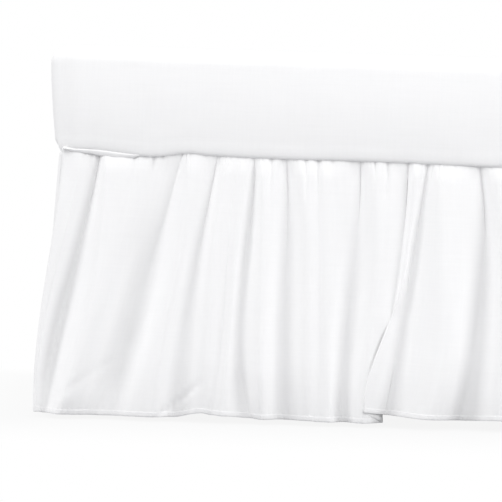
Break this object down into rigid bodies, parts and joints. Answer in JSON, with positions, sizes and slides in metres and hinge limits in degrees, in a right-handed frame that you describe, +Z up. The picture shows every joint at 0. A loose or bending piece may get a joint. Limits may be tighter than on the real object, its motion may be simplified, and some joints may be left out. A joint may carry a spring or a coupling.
{
  "type": "gathered bed skirt on a crib mattress and slatted bed base",
  "caption": "White gathered cotton bed skirt with split corners, hanging from a deck between a crib mattress and a plain slatted base down to just above the floor.",
  "frame": {"origin": "on the floor under the middle of the bed", "axes": "+X along the bed's length, to the right in the picture; +Y from the pictured long side to the back; +Z up"},
  "size_m": [1.368, 0.7575, 0.492],
  "materials": {
    "skirt_cotton": "plain percale weave, matt",
    "deck_cotton": "plain cotton, matt",
    "fitted_sheet": "smooth cotton sheeting, matt",
    "pine": "planed, unvarnished"
  },
  "bodies": {
    "root": {"front_panel": "skirt_cotton", "right_panel": "skirt_cotton", "back_panel": "skirt_cotton", "left_panel": "skirt_cotton", "deck": "deck_cotton", "mattress": "fitted_sheet", "front_rail": "pine", "back_rail": "pine", "left_rail": "pine", "right_rail": "pine", "leg_1": "pine", "leg_2": "pine", "leg_3": "pine", "leg_4": "pine", "slat_1": "pine", "slat_2": "pine", "slat_3": "pine", "slat_4": "pine", "slat_5": "pine", "slat_6": "pine", "slat_7": "pine", "slat_8": "pine", "slat_9": "pine"}
  },
  "joints": []
}
